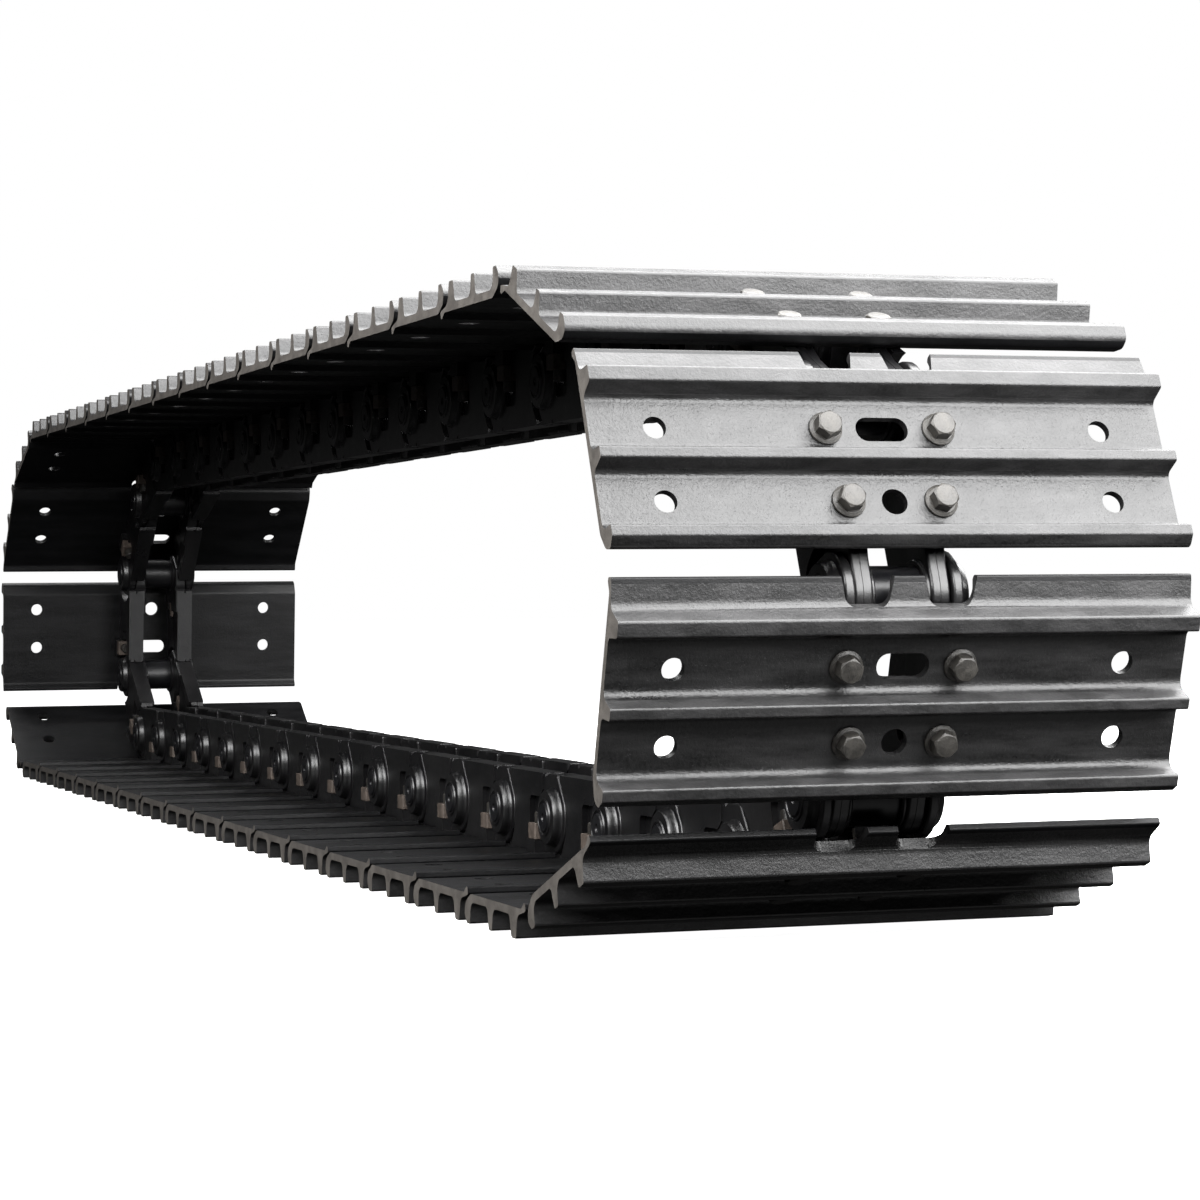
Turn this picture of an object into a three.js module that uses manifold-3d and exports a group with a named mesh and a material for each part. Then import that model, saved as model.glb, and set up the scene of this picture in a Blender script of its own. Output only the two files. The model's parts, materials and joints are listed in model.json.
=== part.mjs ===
// Crawler track group for a compact excavator: an endless chain with a triple-grouser
// shoe bolted to every pitch, standing on its bottom run. Millimetres.
//
// +X is forward along the bottom run, +Z is up, +Y is across the track.
// The origin is on the ground, on the track's centre line, below the middle of the loop.
// Each segment is modelled in its own frame first: x along the chain towards its pin end,
// y across the track, z towards the inside of the loop, zero on the line through its two pivots.

import * as THREE from 'three';
import { mergeVertices } from 'three/addons/utils/BufferGeometryUtils.js';
import Module from 'manifold-3d';

const wasm = await Module();
wasm.setup();

// ---- Chain ----
const PITCH = 154;
const BOTTOM_COUNT = 16;
const TOP_COUNT = 15;
// Directions of the segments in each turn, in degrees from +X, measured towards +Z.
// The last two of the rear turn follow from closing the loop.
const FRONT_TURN = [19.53, 73.08, 113.0, 158.67];
const REAR_TURN = [198.91, 224.48];

// ---- Shoe ----
const SHOE_WIDTH = 450;
const PLATE_INNER = -34.4;
const PLATE_OUTER = -40.9;
const GROUSER_TIP = -58.5;
const GROUSER_ROOT = PLATE_OUTER - 2.6;
// The plate's side outline, from the rolled trailing corner round by the lip and the grousers.
const SHOE_OUTLINE = [
  [-41, PLATE_INNER - 0.9], [-35, PLATE_INNER], [88, PLATE_INNER], [98.5, -29.7],
  [102.6, -31.5], [102, -35.5], [88, -39], [82, GROUSER_ROOT], [77.6, GROUSER_TIP],
  [66.4, GROUSER_TIP], [62, PLATE_OUTER], [17, PLATE_OUTER], [14.7, GROUSER_TIP],
  [5.7, GROUSER_TIP], [2.6, PLATE_OUTER], [-40, PLATE_OUTER], [-44.4, -46],
  [-45.2, GROUSER_TIP], [-53.2, GROUSER_TIP], [-60.8, -49], [-57, -41.9], [-47, -37.2],
];
const NOTCH_INSIDE = 13.3;
const NOTCH_OUTSIDE = 51;
const NOTCH_BOTTOM = 84.2;
// Between the notches the lip is lower, so that the next bushing clears it.
const TAB_LIP = -32.8;

// ---- Bolt pattern: two rows of two, the leading one wider ----
const LEAD_ROW_X = 37.2;
const TRAIL_ROW_X = -20.4;
const LEAD_ROW_Y = 44.5;
const TRAIL_ROW_Y = 36.2;
const BOLT_HOLE_R = 8;
const END_HOLE_Y = 175;
const END_HOLE_R = 8.6;
const SLOT_LENGTH = 41;
const SLOT_WIDTH = 19;
const ROUND_HOLE_R = 10;

// ---- Links: inner lobes hold the bushing, outer lobes hold the pin ----
const RAIL = 39;
const SEAT = PLATE_INNER + 0.3;
const INNER_LOBE = [21, 37.8];
const OUTER_LOBE = [38.2, 52];
const WEB = [26, 48];
const WEB_END = 31.5;
const SEAT_FLANGE = 12;
// Side outlines of the lobes: first number is how far past the pivot towards the link's end.
const INNER_LOBE_OUTLINE = [
  [-60, RAIL], [10, RAIL], [27, 11], [28, -9], [12, -27], [-20, -31.5], [-41, SEAT], [-60, SEAT],
];
const OUTER_LOBE_OUTLINE = [
  [-60, RAIL], [10, RAIL], [32, 12], [31, -14], [10, -32], [-60, SEAT],
];
// Where a link is joined to its plate, its underside reaches this far into the plate.
const JOINED_SEAT = PLATE_INNER - 2;
const COLLAR_R = 24;
const COLLAR_END = 56;
const WINDOW_Z = [SEAT + SEAT_FLANGE, -3];
const WINDOWS_X = [[-34, -7], [23.5, 51]];

// ---- Pin, bushing and seal ----
const PIN_R = 14;
const PIN_HALF_LENGTH = 56.4;
const PIN_BORE_R = 14.8;
const BUSHING_R = 22;
const BUSHING_BORE_R = 16.6;
const BUSHING_FIT_R = 22.8;
const BUSHING_HALF_LENGTH = 37.5;
const SEAL_R = 20;
const SEAL_SEAT_R = 20.8;
const SEAL_DEPTH = 3.6;
const PIN_SIDES = 6;
const ROUND_SIDES = 8;
const FINE_SIDES = 12;

// ---- Bolts and nuts (M14) ----
const BOLT_R = 6.8;
const HEAD_R = 12.7;
const HEAD_HEIGHT = 9;
const HEAD_FLANGE_R = 13.6;
const HEAD_FLANGE_HEIGHT = 2.5;
const NUT_SIDE = 21;
const NUT_HEIGHT = 13;
const NUT_BORE_R = 7.4;
const THREAD_PAST_NUT = 3;
const SEAT_GAP = 0.3;

const shoeSteel = new THREE.MeshStandardMaterial({ color: 0x35373a, roughness: 0.42, metalness: 0.8 });
const linkSteel = new THREE.MeshStandardMaterial({ color: 0x17181b, roughness: 0.3, metalness: 0.8 });
const pinSteel = new THREE.MeshStandardMaterial({ color: 0x2a2b2f, roughness: 0.28, metalness: 0.9 });
const boltSteel = new THREE.MeshStandardMaterial({ color: 0x6b6c6e, roughness: 0.45, metalness: 0.8 });
const nutSteel = new THREE.MeshStandardMaterial({ color: 0x8a7263, roughness: 0.6, metalness: 0.6 });
const sealRubber = new THREE.MeshStandardMaterial({ color: 0x101010, roughness: 0.8, metalness: 0 });

// ---- Solids ----
function toSolid(geometry) {
  const bare = geometry.index ? geometry.toNonIndexed() : geometry;
  bare.deleteAttribute('normal');
  bare.deleteAttribute('uv');
  const merged = mergeVertices(bare, 1e-4);
  return new wasm.Manifold(new wasm.Mesh({
    numProp: 3,
    vertProperties: new Float32Array(merged.attributes.position.array),
    triVerts: new Uint32Array(merged.index.array),
  }));
}

function toGeometry(solid) {
  const mesh = solid.getMesh();
  const geometry = new THREE.BufferGeometry();
  geometry.setAttribute('position', new THREE.BufferAttribute(mesh.vertProperties, 3));
  geometry.setIndex(new THREE.BufferAttribute(mesh.triVerts, 1));
  geometry.computeVertexNormals();
  return geometry;
}

function flatShape(outline) {
  return new THREE.Shape(outline.map(([u, v]) => new THREE.Vector2(u, v)));
}

// An outline in the x-z plane carried across the track from y = low to y = high.
function slab(outline, low, high) {
  const shape = flatShape(outline);
  const geometry = new THREE.ExtrudeGeometry(shape, { depth: high - low, bevelEnabled: false });
  geometry.rotateX(Math.PI / 2);
  geometry.translate(0, high, 0);
  return toSolid(geometry);
}

function box(xs, ys, zs) {
  const geometry = new THREE.BoxGeometry(xs[1] - xs[0], ys[1] - ys[0], zs[1] - zs[0]);
  geometry.translate((xs[0] + xs[1]) / 2, (ys[0] + ys[1]) / 2, (zs[0] + zs[1]) / 2);
  return toSolid(geometry);
}

// The corners of a regular polygon that stands in for a circle.
function ring(radius, centreX, centreY, sides) {
  const step = (2 * Math.PI) / sides;
  return Array.from({ length: sides }, (_, corner) => [
    centreX + radius * Math.cos((corner + 0.5) * step),
    centreY + radius * Math.sin((corner + 0.5) * step),
  ]);
}

// A round bar along y, at a pivot.
function barAcross(radius, low, high, x, sides = ROUND_SIDES) {
  return slab(ring(radius, x, 0, sides), low, high);
}

// A round bar along z, as the bolts stand.
function barThrough(radius, low, high, x, y, sides = FINE_SIDES) {
  const shape = flatShape(ring(radius, x, y, sides));
  const geometry = new THREE.ExtrudeGeometry(shape, { depth: high - low, bevelEnabled: false });
  geometry.translate(0, 0, low);
  return toSolid(geometry);
}

const boltPlaces = [
  [LEAD_ROW_X, -LEAD_ROW_Y], [LEAD_ROW_X, LEAD_ROW_Y],
  [TRAIL_ROW_X, -TRAIL_ROW_Y], [TRAIL_ROW_X, TRAIL_ROW_Y],
];

// ---- Shoe ----
function plainShoe() {
  let shoe = slab(SHOE_OUTLINE, -SHOE_WIDTH / 2, SHOE_WIDTH / 2);
  for (const side of [-1, 1]) {
    const ys = [side * NOTCH_INSIDE, side * NOTCH_OUTSIDE].sort((a, b) => a - b);
    shoe = shoe.subtract(box([NOTCH_BOTTOM, 110], ys, [-60, -20]));
  }
  return shoe.subtract(box([NOTCH_BOTTOM, 110], [-NOTCH_INSIDE - 1, NOTCH_INSIDE + 1], [TAB_LIP, -20]));
}

function slotCutter() {
  const reach = (SLOT_LENGTH - SLOT_WIDTH) / 2;
  const low = PLATE_OUTER - 1;
  const high = PLATE_INNER + 1;
  const half = SLOT_WIDTH / 2;
  return box([LEAD_ROW_X - half, LEAD_ROW_X + half], [-reach, reach], [low, high])
    .add(barThrough(half, low, high, LEAD_ROW_X, -reach, ROUND_SIDES))
    .add(barThrough(half, low, high, LEAD_ROW_X, reach, ROUND_SIDES));
}

function drilledShoe(sides) {
  const low = PLATE_OUTER - 1;
  const high = PLATE_INNER + 1;
  let shoe = plainShoe().subtract(slotCutter());
  shoe = shoe.subtract(barThrough(ROUND_HOLE_R, low, high, TRAIL_ROW_X, 0, sides));
  for (const x of [LEAD_ROW_X, TRAIL_ROW_X]) {
    for (const side of [-1, 1]) {
      shoe = shoe.subtract(barThrough(END_HOLE_R, low, high, x, side * END_HOLE_Y, sides));
    }
  }
  return shoe;
}

function boltedShoe() {
  let shoe = drilledShoe(ROUND_SIDES);
  const low = PLATE_OUTER - 1;
  const high = PLATE_INNER + 1;
  for (const [x, y] of boltPlaces) {
    shoe = shoe.subtract(barThrough(BOLT_HOLE_R, low, high, x, y, ROUND_SIDES));
  }
  return shoe;
}

// ---- Link ----
// Lobe outlines are given from the pivot outwards; these place them on the chain.
function lobe(outline, side, ys, seat) {
  const placed = outline.map(([past, z]) => [side * (PITCH / 2 + past), z === SEAT ? seat : z]);
  return slab(placed, ...ys);
}

function rightLink(seat = SEAT) {
  return box([-WEB_END, WEB_END], WEB, [seat, RAIL])
    .add(lobe(INNER_LOBE_OUTLINE, -1, INNER_LOBE, seat))
    .add(lobe(OUTER_LOBE_OUTLINE, 1, OUTER_LOBE, seat));
}

function openLink() {
  const collar = barAcross(COLLAR_R, OUTER_LOBE[1] - 2, COLLAR_END, PITCH / 2);
  let link = rightLink().add(collar);
  for (const xs of WINDOWS_X) {
    link = link.subtract(box(xs, [10, 60], WINDOW_Z));
  }
  link = link.subtract(barAcross(PIN_BORE_R, 30, 60, PITCH / 2, FINE_SIDES));
  link = link.subtract(barAcross(SEAL_SEAT_R, 30, OUTER_LOBE[0] + SEAL_DEPTH + 0.4, PITCH / 2, FINE_SIDES));
  link = link.subtract(barAcross(BUSHING_FIT_R, 10, 45, -PITCH / 2, FINE_SIDES));
  for (const [x, y] of boltPlaces.filter((place) => place[1] > 0)) {
    link = link.subtract(barThrough(BOLT_HOLE_R, SEAT - 1, SEAT + SEAT_FLANGE + 1, x, y));
  }
  return link;
}

// Two links joined by their bushing and pin. At the pivot where the loop is opened, the pin is left
// out between the links, so only its two ends are there, in the outer lobes.
function linkPair(link, pinIsWhole) {
  const inside = OUTER_LOBE[0] + 2;
  let pair = link.add(link.mirror([0, 1, 0]));
  pair = pair.add(barAcross(BUSHING_R, -INNER_LOBE[0] - 1, INNER_LOBE[0] + 1, -PITCH / 2));
  if (pinIsWhole) {
    pair = pair.add(barAcross(PIN_R, -inside, inside, PITCH / 2, PIN_SIDES));
  } else {
    pair = pair.add(barAcross(PIN_R, inside, PIN_HALF_LENGTH, PITCH / 2));
    pair = pair.add(barAcross(PIN_R, -PIN_HALF_LENGTH, -inside, PITCH / 2));
  }
  return pair.subtract(barAcross(BUSHING_BORE_R, -60, 60, -PITCH / 2, PIN_SIDES));
}

// ---- Small parts of the fully separated segment ----
function pinSolid() {
  return barAcross(PIN_R, -PIN_HALF_LENGTH, PIN_HALF_LENGTH, PITCH / 2, FINE_SIDES);
}

function bushingSolid() {
  return barAcross(BUSHING_R, -BUSHING_HALF_LENGTH, BUSHING_HALF_LENGTH, -PITCH / 2, FINE_SIDES)
    .subtract(barAcross(BUSHING_BORE_R, -60, 60, -PITCH / 2, FINE_SIDES));
}

function sealSolid(side) {
  const near = OUTER_LOBE[0];
  const ys = [side * near, side * (near + SEAL_DEPTH)].sort((a, b) => a - b);
  return barAcross(SEAL_R, ...ys, PITCH / 2, FINE_SIDES)
    .subtract(barAcross(PIN_BORE_R, ys[0] - 1, ys[1] + 1, PITCH / 2, FINE_SIDES));
}

function boltSolid(x, y) {
  const face = PLATE_OUTER - SEAT_GAP;
  const end = SEAT + SEAT_FLANGE + SEAT_GAP + NUT_HEIGHT + THREAD_PAST_NUT;
  return barThrough(BOLT_R, face - 1, end, x, y)
    .add(barThrough(HEAD_FLANGE_R, face - HEAD_FLANGE_HEIGHT, face, x, y))
    .add(barThrough(HEAD_R, face - HEAD_FLANGE_HEIGHT - HEAD_HEIGHT, face - 1, x, y, 6));
}

function nutSolid(x, y) {
  const base = SEAT + SEAT_FLANGE + SEAT_GAP;
  const half = NUT_SIDE / 2;
  return box([x - half, x + half], [y - half, y + half], [base, base + NUT_HEIGHT])
    .subtract(barThrough(NUT_BORE_R, base - 1, base + NUT_HEIGHT + 1, x, y));
}

// ---- The loop ----
// Every segment in chain order, walking back from the front of the bottom run.
function chainDirections() {
  const degrees = Math.PI / 180;
  const bottomRun = Array(BOTTOM_COUNT).fill(0);
  const topRun = Array(TOP_COUNT).fill(180);
  const known = [...bottomRun, ...FRONT_TURN, ...topRun, ...REAR_TURN];
  let gapX = 0;
  let gapZ = 0;
  for (const angle of known) {
    gapX -= Math.cos(angle * degrees);
    gapZ -= Math.sin(angle * degrees);
  }
  const middle = Math.atan2(gapZ, gapX) / degrees + 360;
  const spread = Math.acos(Math.hypot(gapX, gapZ) / 2) / degrees;
  const forward = [...known, middle - spread, middle + spread];
  const fromFront = forward.slice(0, BOTTOM_COUNT).reverse();
  const rest = forward.slice(BOTTOM_COUNT).reverse();
  return [...fromFront, ...rest].map((angle) => angle * degrees);
}

const LOOP_CENTRE = 1261.8;
const frontPin = new THREE.Vector2(BOTTOM_COUNT * PITCH - LOOP_CENTRE, -GROUSER_TIP);

// One placed group per segment; the walk steps from each segment's pin end to its bushing end.
function segmentGroups() {
  const groups = [];
  const at = frontPin.clone();
  for (const angle of chainDirections()) {
    const along = new THREE.Vector2(Math.cos(angle), Math.sin(angle));
    const centre = at.clone().addScaledVector(along, -PITCH / 2);
    const group = new THREE.Group();
    group.position.set(centre.x, 0, centre.y);
    group.rotation.y = -angle;
    groups.push(group);
    at.addScaledVector(along, -PITCH);
  }
  return groups;
}

function addPiece(group, name, solid, material) {
  const mesh = new THREE.Mesh(toGeometry(solid), material);
  mesh.name = name;
  group.add(mesh);
}

function label(index) {
  return String(index + 1).padStart(2, '0');
}

// A segment of a flat run as one closed solid: the links are sunk into the plate.
function joinedSegment() {
  return plainShoe().add(linkPair(rightLink(JOINED_SEAT), true));
}

function addSeparatedSegment(group, tag) {
  const link = openLink();
  addPiece(group, `shoe_${tag}`, boltedShoe(), shoeSteel);
  addPiece(group, `link_right_${tag}`, link, linkSteel);
  addPiece(group, `link_left_${tag}`, link.mirror([0, 1, 0]), linkSteel);
  addPiece(group, `pin_${tag}`, pinSolid(), pinSteel);
  addPiece(group, `bushing_${tag}`, bushingSolid(), pinSteel);
  addPiece(group, `seal_right_${tag}`, sealSolid(1), sealRubber);
  addPiece(group, `seal_left_${tag}`, sealSolid(-1), sealRubber);
  boltPlaces.forEach(([x, y], number) => {
    addPiece(group, `bolt_${tag}_${number + 1}`, boltSolid(x, y), boltSteel);
    addPiece(group, `nut_${tag}_${number + 1}`, nutSolid(x, y), nutSteel);
  });
}

const track = new THREE.Group();
const groups = segmentGroups();
const turnStart = BOTTOM_COUNT;
const topStart = BOTTOM_COUNT + 4;
const topEnd = topStart + TOP_COUNT;
const separated = groups.length - 2;
// The loop is opened at the pin end of this segment, in the rear turn.
const openedAt = turnStart + 1;
const plainSegment = joinedSegment();
const turnShoe = drilledShoe(PIN_SIDES);
const turnChain = linkPair(rightLink(), true);
const openedChain = linkPair(rightLink(), false);

groups.forEach((group, index) => {
  const tag = label(index);
  const inTurn = (index >= turnStart && index < topStart) || index >= topEnd;
  if (index === separated) {
    addSeparatedSegment(group, tag);
  } else if (inTurn) {
    addPiece(group, `shoe_${tag}`, turnShoe, shoeSteel);
    addPiece(group, `chain_${tag}`, index === openedAt ? openedChain : turnChain, linkSteel);
  } else {
    addPiece(group, `segment_${tag}`, plainSegment, shoeSteel);
  }
  track.add(group);
});

export default track;
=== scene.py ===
"""Looks of a crawler track group: every pitch of the chain gets a shoe, two links, a pin, a bushing,
seals, bolts and nuts, built once as meshes and placed along the loop. Metres, +Z up."""

import json
import math

import bmesh
import bpy
from mathutils import Matrix, Vector


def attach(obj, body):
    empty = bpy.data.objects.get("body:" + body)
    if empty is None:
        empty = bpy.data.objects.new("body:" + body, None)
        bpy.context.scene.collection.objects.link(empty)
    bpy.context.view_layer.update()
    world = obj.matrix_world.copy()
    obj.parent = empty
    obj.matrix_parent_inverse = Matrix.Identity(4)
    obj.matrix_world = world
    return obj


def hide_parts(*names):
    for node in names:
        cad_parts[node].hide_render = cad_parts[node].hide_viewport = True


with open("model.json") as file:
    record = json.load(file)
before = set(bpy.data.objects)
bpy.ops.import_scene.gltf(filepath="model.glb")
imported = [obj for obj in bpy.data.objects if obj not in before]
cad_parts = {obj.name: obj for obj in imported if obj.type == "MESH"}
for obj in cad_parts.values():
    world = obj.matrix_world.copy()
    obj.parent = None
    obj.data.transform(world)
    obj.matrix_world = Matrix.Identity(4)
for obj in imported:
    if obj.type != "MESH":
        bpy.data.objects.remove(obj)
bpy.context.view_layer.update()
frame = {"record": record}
record = frame["record"]

MM = 0.001

# ---------------------------------------------------------------- driving sizes, in millimetres
PITCH = 154.0
HALF_PITCH = PITCH / 2
SHOE_WIDTH = 450.0
PIN_RADIUS = 13.9
PIN_REACH = 56.8
BUSHING_BORE = 14.4
BUSHING_RADIUS = 22.1
BUSHING_REACH = 37.5
# Places of the track bolts from the pitch's middle: along the chain, then across from the centre line.
LEAD_ROW = (37.2, 44.5)
TRAIL_ROW = (-20.4, 36.2)
BOLT_PLACES = [(x, side * y) for x, y in (LEAD_ROW, TRAIL_ROW) for side in (-1, 1)]


# ---------------------------------------------------------------- mesh helpers
# Shapes are drawn in millimetres in a pitch's own frame: x along the chain towards the pin end,
# y across the track, z towards the inside of the loop.

def rounded(points, degrees_per_step=14.0):
    """A closed outline from (u, v, radius) corners, with each corner turned into an arc."""
    outline = []
    count = len(points)
    for index, (u, v, radius) in enumerate(points):
        here = Vector((u, v))
        before = Vector(points[index - 1][:2]) - here
        after = Vector(points[(index + 1) % count][:2]) - here
        if radius <= 0:
            outline.append((u, v))
            continue
        a, b = before.normalized(), after.normalized()
        opening = a.angle(b)
        reach = radius / math.tan(opening / 2)
        reach = min(reach, 0.48 * before.length, 0.48 * after.length)
        radius = reach * math.tan(opening / 2)
        centre = here + (a + b).normalized() * (radius / math.sin(opening / 2))
        start = here + a * reach - centre
        end = here + b * reach - centre
        turn = start.angle_signed(end)
        steps = max(2, round(abs(math.degrees(turn)) / degrees_per_step))
        for step in range(steps + 1):
            angle = -turn * step / steps
            c, s = math.cos(angle), math.sin(angle)
            outline.append((centre.x + start.x * c - start.y * s, centre.y + start.x * s + start.y * c))
    return outline


def rounded_box(low_x, low_y, high_x, high_y, radius, degrees_per_step=14.0):
    """A closed rectangle with its four corners rounded."""
    corners = [(low_x, low_y), (high_x, low_y), (high_x, high_y), (low_x, high_y)]
    return rounded([(x, y, radius) for x, y in corners], degrees_per_step)


def circle(radius, x, y, sides=32):
    """A regular outline round (x, y); its first corner is on the +x side."""
    turns = [2 * math.pi * k / sides for k in range(sides)]
    return [(x + radius * math.cos(turn), y + radius * math.sin(turn)) for turn in turns]


def object_from(bm, name):
    """A linked object with the finished mesh, its faces pointing outwards."""
    bmesh.ops.recalc_face_normals(bm, faces=bm.faces)
    mesh = bpy.data.meshes.new(name)
    bm.to_mesh(mesh)
    bm.free()
    ob = bpy.data.objects.new(name, mesh)
    bpy.context.collection.objects.link(ob)
    return ob


def sweep(outline, low, high, place):
    """A prism: the outline at both ends, joined by side faces. place(u, v, w) gives the corner."""
    bm = bmesh.new()
    first = [bm.verts.new(place(u, v, low)) for u, v in outline]
    last = [bm.verts.new(place(u, v, high)) for u, v in outline]
    bm.faces.new(first)
    bm.faces.new(list(reversed(last)))
    for k in range(len(outline)):
        n = (k + 1) % len(outline)
        bm.faces.new((first[k], last[k], last[n], first[n]))
    return object_from(bm, "work")


def across(outline, low, high):
    """A prism of an x-z outline, across the track."""
    return sweep(outline, low, high, lambda u, v, w: (u, w, v))


def through(outline, low, high):
    """A prism of an x-y outline, along z."""
    return sweep(outline, low, high, lambda u, v, w: (u, v, w))


def lathe(profile, x, sides=40, along_z=None):
    """A closed ring or bar from (radius, distance) pairs, turned round the pivot line at x, or round
    an upright line at (x, along_z)."""
    bm = bmesh.new()
    rings = []
    for radius, distance in profile:
        ring = []
        for k in range(1 if radius == 0 else sides):
            angle = 2 * math.pi * k / sides
            c, s = radius * math.cos(angle), radius * math.sin(angle)
            spot = (x + c, distance, s) if along_z is None else (x + c, along_z + s, distance)
            ring.append(bm.verts.new(spot))
        rings.append(ring)
    pairs = list(zip(rings, rings[1:]))
    if profile[0][0] and profile[-1][0]:
        pairs.append((rings[-1], rings[0]))
    for a, b in pairs:
        for k in range(sides):
            n = (k + 1) % sides
            corners = [a[k % len(a)], a[n % len(a)], b[n % len(b)], b[k % len(b)]]
            unique = list(dict.fromkeys(corners))
            if len(unique) > 2:
                bm.faces.new(unique)
    return object_from(bm, "work")


def applied(ob):
    """ob with its modifiers applied to its mesh."""
    mesh = bpy.data.meshes.new_from_object(ob.evaluated_get(bpy.context.evaluated_depsgraph_get()))
    ob.modifiers.clear()
    old, ob.data = ob.data, mesh
    bpy.data.meshes.remove(old)
    return ob


def combine(ob, other, operation):
    """ob joined with, cut by or kept inside the other solid, which is used up."""
    modifier = ob.modifiers.new("combine", "BOOLEAN")
    modifier.operation = operation
    modifier.solver = "EXACT"
    modifier.object = other
    applied(ob)
    bpy.data.objects.remove(other)
    return ob


def cut(ob, *others):
    """ob with the other solids taken away."""
    for other in others:
        combine(ob, other, "DIFFERENCE")
    return ob


def join(ob, *others):
    """ob and the other solids as one."""
    for other in others:
        combine(ob, other, "UNION")
    return ob


def merged(*objects):
    """Loose solids collected in one mesh, as a set of like pieces on one pitch."""
    bm = bmesh.new()
    for ob in objects:
        bm.from_mesh(ob.data)
        bpy.data.objects.remove(ob)
    return object_from(bm, "work")


def softened(ob, width, segments=2, angle=38, edge_slot=0):
    """Bevels the sharp edges; the bevel faces take material slot edge_slot."""
    bm = bmesh.new()
    bm.from_mesh(ob.data)
    bmesh.ops.remove_doubles(bm, verts=bm.verts, dist=0.004)
    bmesh.ops.dissolve_limit(bm, angle_limit=math.radians(0.5), verts=bm.verts, edges=bm.edges)
    bm.to_mesh(ob.data)
    bm.free()
    modifier = ob.modifiers.new("soften", "BEVEL")
    modifier.width = width
    modifier.segments = segments
    modifier.limit_method = "ANGLE"
    modifier.angle_limit = math.radians(angle)
    modifier.use_clamp_overlap = True
    modifier.material = edge_slot
    return applied(ob)


def finished(ob, name, slots, smooth_below=34, mirror=False):
    """The object's mesh in metres, smooth except at sharp edges, with its materials. Broad faces
    keep their own flat shading next to narrow ones."""
    bm = bmesh.new()
    bm.from_mesh(ob.data)
    bmesh.ops.triangulate(bm, faces=[f for f in bm.faces if len(f.verts) > 4])
    bmesh.ops.scale(bm, vec=(MM, -MM if mirror else MM, MM), verts=bm.verts)
    if mirror:
        bmesh.ops.reverse_faces(bm, faces=bm.faces)
    for edge in bm.edges:
        edge.smooth = edge.is_manifold and edge.calc_face_angle(0) < math.radians(smooth_below)
    for face in bm.faces:
        face.smooth = True
    bm.to_mesh(ob.data)
    bm.free()
    weighting = ob.modifiers.new("weighting", "WEIGHTED_NORMAL")
    weighting.keep_sharp = True
    mesh = applied(ob).data
    mesh.name = name
    for material in slots:
        mesh.materials.append(material)
    bpy.data.objects.remove(ob)
    return mesh


# ---------------------------------------------------------------- materials
class Nodes:
    """A material's node tree, with short ways to add and link nodes."""

    def __init__(self, name):
        self.material = bpy.data.materials.new(name)
        self.material.use_nodes = True
        self.tree = self.material.node_tree
        self.shader = self.tree.nodes["Principled BSDF"]
        coordinates = self.add("ShaderNodeTexCoord")
        info = self.add("ShaderNodeObjectInfo")
        shift = self.add("ShaderNodeVectorMath", operation="SCALE")
        shift.inputs[0].default_value = (31.0, 17.0, 23.0)
        self.link(info.outputs["Random"], shift.inputs["Scale"])
        moved = self.add("ShaderNodeVectorMath", operation="ADD")
        self.link(coordinates.outputs["Object"], moved.inputs[0])
        self.link(shift.outputs[0], moved.inputs[1])
        self.place = moved.outputs[0]

    def add(self, kind, **settings):
        node = self.tree.nodes.new(kind)
        for key, value in settings.items():
            setattr(node, key, value)
        return node

    def link(self, source, target):
        self.tree.links.new(source, target)

    def noise(self, scale, detail=4.0, roughness=0.6, stretch=(1, 1, 1)):
        """A noise factor over the object, shifted so that no two copies share it."""
        mapping = self.add("ShaderNodeMapping")
        mapping.inputs["Scale"].default_value = stretch
        self.link(self.place, mapping.inputs["Vector"])
        node = self.add("ShaderNodeTexNoise")
        node.inputs["Scale"].default_value = scale
        node.inputs["Detail"].default_value = detail
        node.inputs["Roughness"].default_value = roughness
        self.link(mapping.outputs[0], node.inputs["Vector"])
        return node.outputs["Fac"]

    def ramp(self, source, stops):
        """Maps a factor to colours or greys given as (position, value)."""
        node = self.add("ShaderNodeValToRGB")
        elements = node.color_ramp.elements
        while len(elements) < len(stops):
            elements.new(0.5)
        for element, (position, value) in zip(elements, stops):
            colour = value if isinstance(value, tuple) else (value, value, value)
            element.position = position
            element.color = (*colour, 1)
        self.link(source, node.inputs[0])
        return node.outputs[0]

    def mix(self, factor, a, b):
        """Blends two colours; each input is a socket, a colour or a plain factor."""
        node = self.add("ShaderNodeMix", data_type="RGBA")
        for value, socket in ((factor, node.inputs[0]), (a, node.inputs[6]), (b, node.inputs[7])):
            if isinstance(value, tuple):
                socket.default_value = (*value, 1)
            elif isinstance(value, float):
                socket.default_value = value
            else:
                self.link(value, socket)
        return node.outputs[2]

    def bump(self, heights):
        """Stacks bumps given as (height, strength, depth in millimetres)."""
        normal = None
        for height, strength, depth_mm in heights:
            node = self.add("ShaderNodeBump")
            node.inputs["Strength"].default_value = strength
            node.inputs["Distance"].default_value = depth_mm * MM
            self.link(height, node.inputs["Height"])
            if normal:
                self.link(normal, node.inputs["Normal"])
            normal = node.outputs[0]
        self.link(normal, self.shader.inputs["Normal"])


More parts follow.
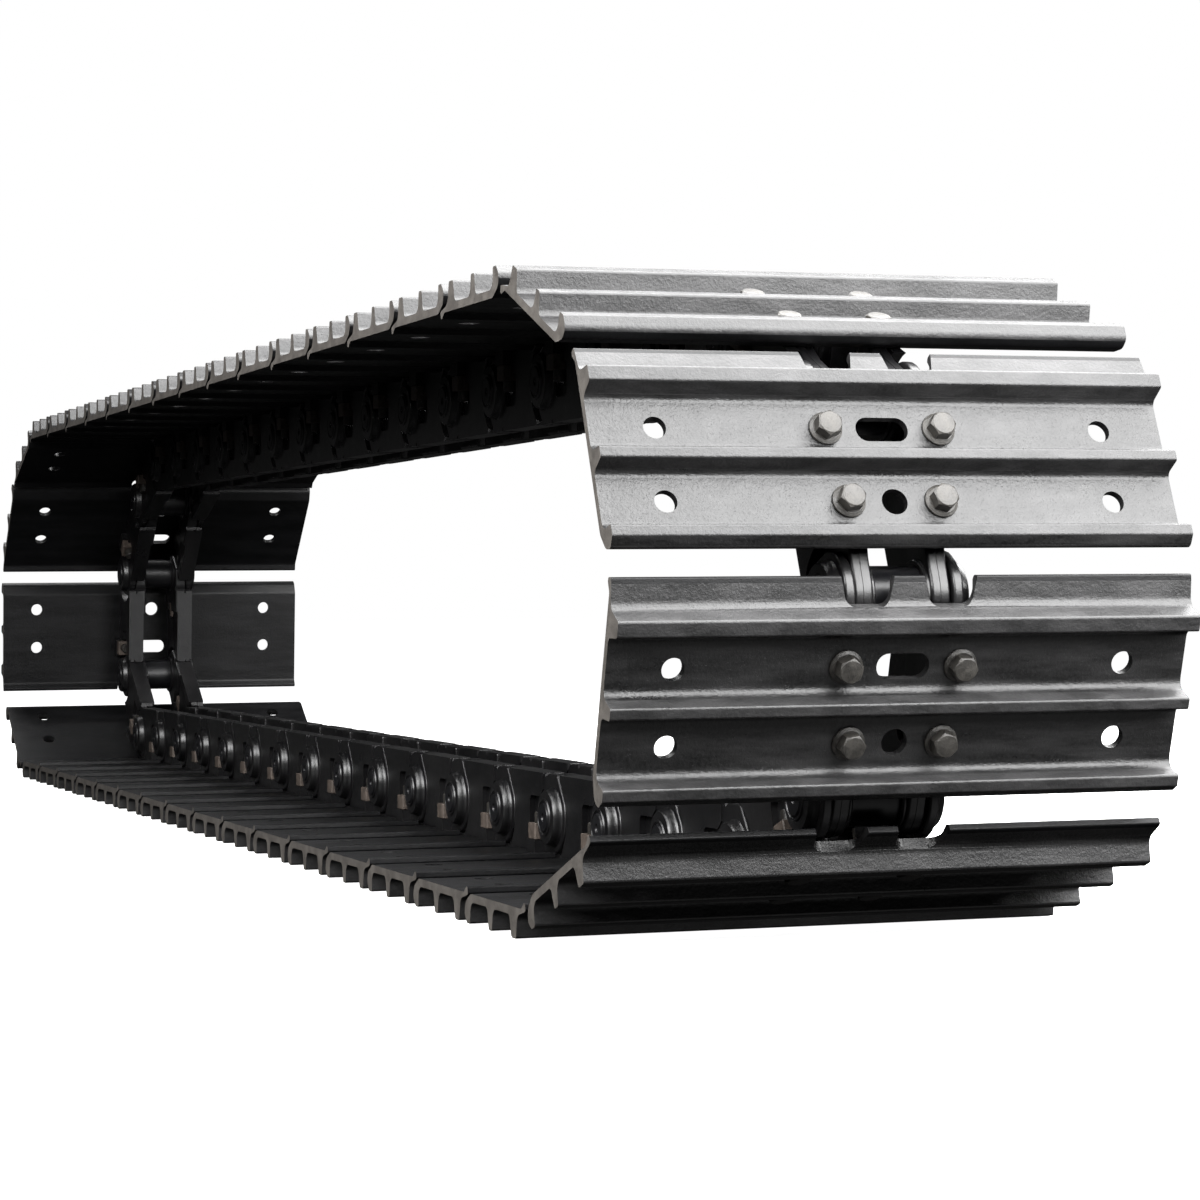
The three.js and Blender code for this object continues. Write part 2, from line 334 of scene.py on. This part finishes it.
def steel(name, dark, light, rough, metallic, grain, pits, specular=0.5, stretch=(1, 1, 1),
          patch_scale=9.0, depth=1.0):
    """Steel under thin paint or scale: patches of two tones, patchy gloss, grain and pits. rough is
    the range of the gloss, grain the strength of coarse and fine relief, depth its scale in height.
    Noise scales are in waves a metre."""
    nodes = Nodes(name)
    patches = nodes.noise(patch_scale, 5, 0.62, stretch)
    fine = nodes.noise(420.0, 3, 0.7)
    tone = nodes.ramp(patches, [(0.40, dark), (0.64, light)])
    tone = nodes.mix(nodes.ramp(fine, [(0.35, 0.0), (0.70, 0.5)]), tone, light)
    nodes.link(tone, nodes.shader.inputs["Base Color"])
    gloss = nodes.mix(nodes.ramp(fine, [(0.3, 0.1), (0.7, 0.9)]),
                      nodes.ramp(patches, [(0.3, rough[0]), (0.7, rough[1])]),
                      nodes.ramp(nodes.noise(60.0, 4, 0.6), [(0.3, rough[0]), (0.7, rough[1])]))
    nodes.link(gloss, nodes.shader.inputs["Roughness"])
    nodes.shader.inputs["Metallic"].default_value = metallic
    nodes.shader.inputs["Specular IOR Level"].default_value = specular
    nodes.bump([(nodes.noise(55.0, 4, 0.6, stretch), grain[0], 0.5 * depth),
                (nodes.noise(380.0, 3, 0.6), grain[1], 0.25 * depth),
                (nodes.ramp(nodes.noise(900.0, 2, 0.5), [(0.62, 0.0), (0.72, 1.0)]), pits, 0.15)])
    return nodes.material


ALONG_SHOE = (3, 0.5, 3)
# Plates between the grousers, under dark paint.
SHOE_PAINT = steel("shoe_paint", (0.0006, 0.0006, 0.0007), (0.020, 0.0197, 0.020), (0.24, 0.42), 0.0,
                   (0.3, 0.9), 0.6, specular=0.5, stretch=ALONG_SHOE, patch_scale=22.0, depth=1.7)
# Grouser flanks and tips and the outside of the lip, with rolling scale left on.
SHOE_MILL = steel("shoe_mill_scale", (0.009, 0.009, 0.0092), (0.030, 0.0295, 0.030), (0.40, 0.52), 0.0,
                  (0.6, 1.0), 0.5, specular=0.47, stretch=(2, 1, 2), patch_scale=25.0, depth=1.7)
# The side that faces into the loop: a darker, duller copy of the plate steel, its dark tone a painted
# shade for the inside of the loop.
SHOE_INNER_SHADE = steel("shoe_inner_painted_shade", (0.002, 0.002, 0.0022), (0.007, 0.007, 0.0075), (0.34, 0.48), 0.0,
                   (0.3, 0.7), 0.4, specular=0.19, stretch=ALONG_SHOE, patch_scale=22.0)
# Edges where the paint has worn off.
SHOE_EDGE = steel("shoe_edge", (0.010, 0.010, 0.010), (0.030, 0.029, 0.028), (0.28, 0.42), 0.0,
                  (0.2, 0.5), 0.3, specular=0.7, patch_scale=40.0)
# The two ends, sheared and left bare.
SHOE_CUT = steel("shoe_sheared_end", (0.052, 0.047, 0.042), (0.100, 0.091, 0.082), (0.55, 0.7), 0.0,
                 (0.5, 0.8), 0.5, specular=0.4, patch_scale=70.0)
LINK_PAINT = steel("link_paint", (0.002, 0.002, 0.0025), (0.009, 0.0087, 0.009), (0.26, 0.40), 0.0,
                   (0.16, 0.4), 0.3, specular=0.55)
LINK_EDGE = steel("link_edge", (0.006, 0.006, 0.007), (0.020, 0.020, 0.021), (0.25, 0.4), 0.0,
                  (0.3, 0.4), 0.2, specular=0.6, patch_scale=50.0)
PIN_STEEL = steel("pin_paint", (0.003, 0.003, 0.004), (0.008, 0.008, 0.009), (0.30, 0.42), 0.0,
                  (0.1, 0.2), 0.1, specular=0.4)
BOLT_STEEL = steel("bolt_phosphate", (0.014, 0.013, 0.0117), (0.042, 0.039, 0.0345), (0.34, 0.56), 0.1,
                   (0.4, 0.8), 0.6, patch_scale=120.0, depth=1.6)
NUT_STEEL = steel("nut_tan", (0.05, 0.039, 0.032), (0.12, 0.096, 0.080), (0.45, 0.65), 0.1,
                  (0.4, 0.6), 0.5, patch_scale=110.0)
SEAL_RUBBER = steel("seal_rubber", (0.008, 0.008, 0.008), (0.02, 0.02, 0.02), (0.6, 0.75), 0.0,
                    (0.2, 0.3), 0.2)


# ---------------------------------------------------------------- shoe
# Heights from the pivot line: the plate's two faces, the grouser tips, and a range through the plate.
PLATE_INNER = -34.4
PLATE_OUTER = -40.9
TIP = -58.45
THROUGH_PLATE = (-45, -30)
SHOE_CORNERS = [
    (-43.5, PLATE_INNER, 9), (-57.4, -41.4, 9), (-61.4, -50.6, 6), (-53.9, TIP, 2.2),
    (-45.2, TIP, 2.2), (-43.9, PLATE_OUTER, 9),
    (2.4, PLATE_OUTER, 6), (5.8, TIP, 2.2), (14.7, TIP, 2.2), (17.6, PLATE_OUTER, 9),
    (61.2, PLATE_OUTER, 6), (65.9, TIP, 2.4), (77.9, TIP, 2.4), (81.7, -40.2, 9),
    (98.5, -36.7, 2), (103, -35.1, 1.6), (101.8, -29.7, 1.6), (98.5, -29.5, 1.6), (92, PLATE_INNER, 6),
]
LIP_START = 85
LIP_END = 100
END_HOLE_Y = 175.0
END_HOLE_RADIUS = 8.6
BOLT_HOLE_RADIUS = 7.4
MUD_HOLE_RADIUS = 10
SLOT_LENGTH = 41
SLOT_WIDTH = 19


def notch(side):
    """What the lip leaves open for the next pitch's link on one side."""
    corners = [(110, 54.4, 0), (82, 48.4, 8), (82, 16.2, 8), (110, 10.2, 0)]
    return through([(x, side * y) for x, y in rounded(corners)], -60, -20)


def slot_outline():
    """The long hole between the lead row's bolts, across the track."""
    x, half_width, half_length = LEAD_ROW[0], SLOT_WIDTH / 2, SLOT_LENGTH / 2
    return rounded_box(x - half_width, -half_length, x + half_width, half_length, half_width)


def paint_shoe(shoe):
    """Gives each face its slot: 1 is already on the bevelled edges, and the plates keep 0."""
    for face in shoe.data.polygons:
        normal, centre = face.normal, face.center
        at_end = abs(normal.y) > 0.8 and abs(centre.y) > SHOE_WIDTH / 2 - 1
        # Faces into the loop and at the lip's front end, which take the darker plate steel of slot 4 as
        # painted shade.
        inside = normal.z > 0.1 or centre.x > LIP_END
        on_flank = abs(normal.z) < 0.4 and abs(normal.y) < 0.1
        on_lip = centre.x > LIP_START and normal.z < -0.1
        on_tip = centre.z < TIP + 0.5
        if at_end:
            face.material_index = 2
        elif face.material_index == 0 and inside:
            face.material_index = 4
        elif face.material_index == 0 and (on_flank or on_lip or on_tip):
            face.material_index = 3


def make_shoe():
    shoe = across(rounded(SHOE_CORNERS), -SHOE_WIDTH / 2, SHOE_WIDTH / 2)
    holes = [slot_outline(), circle(MUD_HOLE_RADIUS, TRAIL_ROW[0], 0)]
    holes += [circle(END_HOLE_RADIUS, x, side * END_HOLE_Y, 28)
              for x in (LEAD_ROW[0], TRAIL_ROW[0]) for side in (-1, 1)]
    holes += [circle(BOLT_HOLE_RADIUS, x, y, 20) for x, y in BOLT_PLACES]
    cutters = [notch(-1), notch(1)] + [through(outline, *THROUGH_PLATE) for outline in holes]
    shoe = softened(cut(shoe, *cutters), 0.7, edge_slot=1)
    paint_shoe(shoe)
    return finished(shoe, "shoe", [SHOE_PAINT, SHOE_EDGE, SHOE_CUT, SHOE_MILL, SHOE_INNER_SHADE])


# ---------------------------------------------------------------- links
# Heights of the rail and of the seat on the shoe, then ranges across the track.
RAIL = 39.0
SEAT = -34.1
INNER_LOBE = (22.4, 37.7)
OUTER_LOBE = (38.3, 46.4)
WEB = (26.0, 47.6)
INNER_RADIUS = 29.4
OUTER_RADIUS = 33.0
RAIL_REACH = 11
# The web's straight end, and the arc that leaves room for the next link's lobe.
WEB_END = 31.5
SWEEP_RADIUS = 41.4
BOSS = [
    (0, 40), (27.6, 40), (27.6, 46.2), (26.6, 47.4), (25.8, 49.6), (25.2, 52.6), (23.8, 54.2),
    (19, 54.6), (17.2, 54.8), (16.6, 56), (15.6, 56.3), (15, 55.6), (0, 55.6),
]


def lobe_outline(side, radius, rail_reach):
    """The side view of a link end round its pivot, running into the rail and the shoe seat."""
    pivot = side * HALF_PITCH
    turns = [math.radians(degrees) for degrees in range(24, -91, -12)]
    arc = [(pivot + side * radius * math.cos(turn), radius * math.sin(turn)) for turn in turns]
    head = [(side * 20, RAIL), (pivot + side * (rail_reach - 3), RAIL),
            (pivot + side * rail_reach, RAIL - 1.6)]
    foot = [(pivot - side * 18, -radius - 0.6), (side * 42, SEAT), (side * 20, SEAT)]
    return head + arc + foot


def web_outline(side):
    """The side view of the web and rail, hollowed at one end so that the next link's lobe can turn."""
    pivot = side * HALF_PITCH
    start = math.asin(RAIL / SWEEP_RADIUS)
    end = math.asin(SEAT / SWEEP_RADIUS)
    arc = [(pivot - side * SWEEP_RADIUS * math.cos(angle), SWEEP_RADIUS * math.sin(angle))
           for angle in (start + (end - start) * k / 14 for k in range(15))]
    return [(-side * WEB_END, SEAT), (-side * WEB_END, 10), (-side * 50, 24), (-side * 50, RAIL)] + arc


def bore(radius, low, high, x):
    """A round cutter on the pivot line at x."""
    return lathe([(0, low), (radius, low), (radius, high), (0, high)], x)


def solid_link():
    """The link before its openings: web and rail, two lobes, forging seam, boss, shoulder and foot."""
    step = OUTER_LOBE[0]
    link = join(across(web_outline(1), WEB[0], step - 0.3), across(web_outline(-1), step - 0.5, WEB[1]))
    inner = softened(across(lobe_outline(-1, INNER_RADIUS, RAIL_REACH), *INNER_LOBE), 2.6, segments=3)
    outer = softened(across(lobe_outline(1, OUTER_RADIUS, RAIL_REACH), *OUTER_LOBE), 2.0, segments=3)
    middle = sum(INNER_LOBE) / 2
    seam = across(lobe_outline(-1, INNER_RADIUS + 0.5, RAIL_REACH), middle - 0.5, middle + 0.5)
    boss = lathe(BOSS, HALF_PITCH)
    shoulder = lathe([(0, 19.6), (25.5, 19.6), (26.8, 21), (26.8, 24), (0, 24)], -HALF_PITCH)
    foot = across([(24, SEAT), (50, SEAT), (49, -21.9), (25, -21.9)], 34, 55.6)
    return join(link, inner, seam, outer, boss, shoulder, foot)


def nut_window(x, low, high):
    """A hole through the web round a nut, between two distances across the track."""
    base, top = -22.2, 5
    corners = [(x - 13.6, base, 1.5), (x + 13.6, base, 1.5), (x + 12.4, top, 8), (x - 12.4, top, 8)]
    return across(rounded(corners), low, high)


def rail_relief(side):
    """The notch in the rail beside a pivot that lets the next link's rail fold in by 61 degrees."""
    pivot = side * HALF_PITCH
    notch_bottom = (pivot - side * 21.2, 35.3)
    outline = [(pivot - side * 12, RAIL + 0.5), notch_bottom, (pivot - side * 24, RAIL + 0.5)]
    return across(outline, 20, 50)


def link_openings():
    step = OUTER_LOBE[0]
    below_rail = across(rounded([(10, -14, 4), (10, 17, 6), (47, 17, 6), (47, -14, 4)]), 42, 60)
    inner_slope = through(
        [(50, WEB[0] - 1), (66, WEB[0] - 1), (66, step - 0.7), (63.3, step - 0.7)], -30, 50)
    outer_slope = through([(-52, WEB[1] + 1), (-66, WEB[1] + 1), (-66, step), (-63.3, step)], -30, 50)
    windows = [nut_window(LEAD_ROW[0], 33.5, 70), nut_window(TRAIL_ROW[0], 10, 42)]
    pin_bore = bore(PIN_RADIUS + 0.25, 30, 60, HALF_PITCH)
    bushing_bore = bore(BUSHING_RADIUS + 0.2, 10, 42, -HALF_PITCH)
    seal_seat = bore(20.8, 30, 42.2, HALF_PITCH)
    bolt_holes = [through(circle(7.3, x, y, 20), SEAT - 2, -18) for x, y in BOLT_PLACES if y > 0]
    bores = [pin_bore, bushing_bore, seal_seat]
    reliefs = [rail_relief(-1), rail_relief(1)]
    return [below_rail, inner_slope, outer_slope, *reliefs, *windows, *bores, *bolt_holes]


def make_link(name, mirror):
    link = softened(cut(solid_link(), *link_openings()), 1.1, segments=2, angle=40, edge_slot=1)
    return finished(link, name, [LINK_PAINT, LINK_EDGE], 50, mirror)


# ---------------------------------------------------------------- round parts
def pin_end():
    """Half the outline of the pin's end, from the centre hollow out to the chamfer."""
    face = PIN_REACH
    return [(0, face - 1.6), (3.2, face - 1.6), (4.2, face - 0.2), (9, face), (PIN_RADIUS - 1.5, face),
            (PIN_RADIUS, face - 1.8)]


def make_pin():
    profile = [(r, -d) for r, d in pin_end()] + list(reversed(pin_end()))
    return finished(lathe(profile, HALF_PITCH), "pin", [PIN_STEEL])


def make_pin_ends():
    """The master pin: only its two ends, so that the opened pivot can part."""
    ends = []
    for side in (-1, 1):
        profile = [(0, 40), (PIN_RADIUS, 40)] + list(reversed(pin_end()))
        ends.append(lathe([(r, side * d) for r, d in profile], HALF_PITCH))
    return finished(merged(*ends), "pin_ends", [PIN_STEEL])


def make_bushing():
    end = [(BUSHING_RADIUS, BUSHING_REACH - 0.9), (BUSHING_RADIUS - 0.8, BUSHING_REACH),
           (BUSHING_BORE + 1, BUSHING_REACH), (BUSHING_BORE, BUSHING_REACH - 0.5)]
    profile = [(r, -d) for r, d in reversed(end)] + end
    return finished(lathe(profile, -HALF_PITCH), "bushing", [PIN_STEEL])


def make_seals():
    rings = []
    for side in (-1, 1):
        profile = [(14.6, 38.2), (18.6, 38.0), (20.2, 38.8), (20.4, 41.6), (18.6, 42), (14.6, 42)]
        rings.append(lathe([(r, side * d) for r, d in profile], HALF_PITCH))
    return finished(merged(*rings), "seals", [SEAL_RUBBER])


# ---------------------------------------------------------------- bolts and nuts
# Degrees that each head is turned by, as the wrench left it.
HEAD_TURNS = (8, 31, 22, 47)
HEX_RADIUS = 10.1
NUT_HALF_WIDTH = 10.4
NUT_HEIGHTS = (-21.9, -7.4)


def make_bolt(x, y, degrees):
    """A flange, a six-sided head with a chamfered crown, and a shank, upright at (x, y)."""
    base = PLATE_OUTER - 0.1
    flange = lathe([(0, base), (12.2, base), (12.8, base - 0.8), (12.6, base - 1.9), (10.4, base - 3.2),
                    (0, base - 3.2)], x, 32, along_z=y)
    corners = [math.radians(60 * k + degrees) for k in range(6)]
    flats = [(x + HEX_RADIUS * math.cos(turn), y + HEX_RADIUS * math.sin(turn)) for turn in corners]
    crown = lathe([(0, base - 12.9), (5, base - 12.8), (8.2, base - 12.3), (9.0, base - 11.6),
                   (11.5, base - 9.9), (11.5, base), (0, base)], x, 32, along_z=y)
    head = combine(through(flats, base - 15, base - 2), crown, "INTERSECT")
    shank = lathe([(0, base - 2), (6.7, base - 2), (6.7, 1.6), (5.6, 2.8), (0, 2.8)], x, 24, along_z=y)
    return flange, head, shank


def make_bolts():
    parts = []
    for (x, y), degrees in zip(BOLT_PLACES, HEAD_TURNS):
        parts += make_bolt(x, y, degrees)
    return finished(merged(*parts), "bolts", [BOLT_STEEL], 28)


def make_nuts():
    nuts = []
    half = NUT_HALF_WIDTH
    for x, y in BOLT_PLACES:
        nut = through(rounded_box(x - half, y - half, x + half, y + half, 1.6, 30), *NUT_HEIGHTS)
        nut = cut(nut, lathe([(0, -30), (7.0, -30), (7.0, 0), (0, 0)], x, 24, along_z=y))
        nuts.append(softened(nut, 0.8))
    return finished(merged(*nuts), "nuts", [NUT_STEEL])


# ---------------------------------------------------------------- the loop
BOTTOM_COUNT = 16
TOP_COUNT = 15
# Directions of the pitches in each turn, in degrees from +X, measured towards +Z.
FRONT_TURN = [19.53, 73.08, 113.0, 158.67]
REAR_TURN = [198.91, 224.48]
# Where the bottom run's front pin sits: x, then height above the ground. The bottom run's rear end
# is set so that the whole loop's middle is at x = 0.
BOTTOM_REAR_X = -1261.8
PIN_HEIGHT = 58.5
FRONT_PIN = (BOTTOM_REAR_X + BOTTOM_COUNT * PITCH, PIN_HEIGHT)
# The loop's joints are opened at this pitch's pin, so that pin is only two ends.
OPENED_PIN = 18


def chain_directions():
    """Every pitch's direction, walking back from the front of the bottom run. The last two of the
    rear turn follow from closing the loop."""
    known = [0.0] * BOTTOM_COUNT + FRONT_TURN + [180.0] * TOP_COUNT + REAR_TURN
    gap_x = -sum(math.cos(math.radians(angle)) for angle in known)
    gap_z = -sum(math.sin(math.radians(angle)) for angle in known)
    middle = math.degrees(math.atan2(gap_z, gap_x)) + 360
    spread = math.degrees(math.acos(math.hypot(gap_x, gap_z) / 2))
    forward = known + [middle - spread, middle + spread]
    return forward[:BOTTOM_COUNT][::-1] + forward[BOTTOM_COUNT:][::-1]


def placements():
    """The matrix of every pitch, its x axis pointing at its pin end."""
    result = []
    at = Vector((FRONT_PIN[0], 0, FRONT_PIN[1]))
    for degrees in chain_directions():
        angle = math.radians(degrees)
        along = Vector((math.cos(angle), 0, math.sin(angle)))
        centre = at - along * HALF_PITCH
        result.append(Matrix.Translation(centre * MM) @ Matrix.Rotation(-angle, 4, "Y"))
        at -= along * PITCH
    return result


def tilt_baked(mesh, matrix):
    """A copy of the mesh that holds the pitch's tilt in its shape, and the place left without it, so
    that the box round a tilted shoe is its true one."""
    copy = mesh.copy()
    copy.transform(matrix.to_3x3().to_4x4())
    return copy, Matrix.Translation(matrix.translation)


def add_piece(name, mesh, matrix, body, nodes):
    """One visible piece, which rides on its pitch and stands for the pitch's CAD nodes."""
    ob = bpy.data.objects.new(name, mesh)
    bpy.context.collection.objects.link(ob)
    ob.matrix_world = matrix
    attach(ob, body)
    if nodes:
        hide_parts(*nodes)
    return ob


def build_track():
    """Every pitch's eight pieces."""
    kit = [
        ("shoe", make_shoe(), "shoe_steel", ("shoe", "segment")),
        ("link_right", make_link("link_right", False), "link_steel", ("link_right", "chain")),
        ("link_left", make_link("link_left", True), "link_steel", ("link_left", "chain")),
        ("pin", make_pin(), "pin_steel", ("pin",)),
        ("bushing", make_bushing(), "pin_steel", ("bushing",)),
        ("seals", make_seals(), "seal_rubber", ("seal",)),
        ("bolts", make_bolts(), "bolt_steel", ("bolt",)),
        ("nuts", make_nuts(), "nut_steel", ("nut",)),
    ]
    pin_ends = make_pin_ends()
    for index, matrix in enumerate(placements(), 1):
        body = f"pitch_{index:02d}"
        nodes = record["behaviour"]["bodies"][body]
        in_turn = abs(matrix[0][2]) > 0.01
        for kind, mesh, slot, stems in kit:
            place = matrix
            if kind == "shoe" and in_turn:
                mesh, place = tilt_baked(mesh, matrix)
            if kind == "pin" and index == OPENED_PIN:
                mesh = pin_ends
            stood_for = [node for node in nodes if node.startswith(stems)]
            add_piece(f"track_{kind}_{index:02d}", mesh, place, body, stood_for)


build_track()


# ---------------------------------------------------------------- studio
def softbox(name, centre, towards, width, height, radiance):
    """A rectangular studio light that faces the point towards, width level and height upright."""
    light = bpy.data.lights.new(name, "AREA")
    light.shape = "RECTANGLE"
    light.size = width
    light.size_y = height
    light.energy = radiance * math.pi * width * height
    ob = bpy.data.objects.new(name, light)
    bpy.context.collection.objects.link(ob)
    ob.location = centre
    ob.rotation_euler = (Vector(centre) - Vector(towards)).to_track_quat("Z", "Y").to_euler()
    ob.visible_camera = False


def make_floor():
    """A pale floor that the steel neither reflects nor is lit by."""
    bm = bmesh.new()
    bmesh.ops.create_grid(bm, x_segments=8, y_segments=8, size=30)
    floor = object_from(bm, "floor")
    floor.location = (0, 0, -0.0005)
    nodes = Nodes("floor_paper")
    nodes.shader.inputs["Base Color"].default_value = (0.86, 0.86, 0.86, 1)
    nodes.shader.inputs["Roughness"].default_value = 0.9
    nodes.shader.inputs["Specular IOR Level"].default_value = 0.1
    nodes.shader.inputs["Emission Color"].default_value = (1, 1, 1, 1)
    nodes.shader.inputs["Emission Strength"].default_value = 0.98
    floor.data.materials.append(nodes.material)
    floor.visible_glossy = False
    floor.visible_diffuse = False


ROOM_LIGHT = 0.03
GLOW = 0.34
GLOW_DIRECTION = (0.75, 0.45, -0.5)
GLOW_EDGE = 0.8


def make_world():
    """A white backdrop behind a dim room. What the steel reflects is the room: dark, with a soft
    glow low in front."""
    world = bpy.data.worlds.new("studio")
    world.use_nodes = True
    tree = world.node_tree
    background = tree.nodes["Background"]
    background.inputs["Color"].default_value = (1, 1, 1, 1)
    direction = tree.nodes.new("ShaderNodeTexCoord")
    facing = tree.nodes.new("ShaderNodeVectorMath")
    facing.operation = "DOT_PRODUCT"
    facing.inputs[1].default_value = Vector(GLOW_DIRECTION).normalized()
    glow = tree.nodes.new("ShaderNodeMapRange")
    glow.interpolation_type = "SMOOTHSTEP"
    glow.inputs["From Min"].default_value = GLOW_EDGE
    glow.inputs["To Min"].default_value = ROOM_LIGHT
    glow.inputs["To Max"].default_value = GLOW
    path = tree.nodes.new("ShaderNodeLightPath")
    level = tree.nodes.new("ShaderNodeMix")
    level.inputs["B"].default_value = 1.0
    tree.links.new(direction.outputs["Generated"], facing.inputs[0])
    tree.links.new(facing.outputs["Value"], glow.inputs["Value"])
    tree.links.new(glow.outputs[0], level.inputs["A"])
    tree.links.new(path.outputs["Is Camera Ray"], level.inputs["Factor"])
    tree.links.new(level.outputs["Result"], background.inputs["Strength"])
    bpy.context.scene.world = world


# Where the camera stands, in metres, its angles in degrees, and its focal length in millimetres.
CAMERA_AT = (3.5863, -0.9572, 0.2605)
CAMERA_ANGLES = (89.90, 0.4646, 71.409)
LENS = 98.79


def make_camera():
    camera = bpy.data.cameras.new("camera")
    camera.lens = LENS
    camera.sensor_width = 36
    camera.clip_end = 200
    ob = bpy.data.objects.new("camera", camera)
    bpy.context.collection.objects.link(ob)
    ob.location = CAMERA_AT
    ob.rotation_euler = [math.radians(angle) for angle in CAMERA_ANGLES]
    bpy.context.scene.camera = ob


# Each light's name, centre, aim, width and height in metres, and radiance. The overhead one aims a
# hair off straight down, which settles its turn.
SOFTBOXES = [
    ("overhead", (1.1, 0.3, 1.8), (1.1, 0.3001, 0), 2.0, 2.6, 14.0),
    ("front", (2.1, 0.75, 1.1), (0, 0.75, 1.1), 1.7, 1.4, 14.0),
    ("front_left", (2.3, -2.1, 1.8), (0.3, 0, 0.2), 1.8, 1.8, 16.0),
    ("far_side", (-0.4, 2.6, 2.0), (0, 0, 0.3), 2.6, 1.2, 11.0),
    ("rear", (-2.6, -0.3, 2.4), (-1.2, 0, 0.4), 1.1, 1.1, 12.0),
]

make_floor()
make_world()
for settings in SOFTBOXES:
    softbox(*settings)
make_camera()
bpy.context.scene.view_settings.view_transform = "Standard"
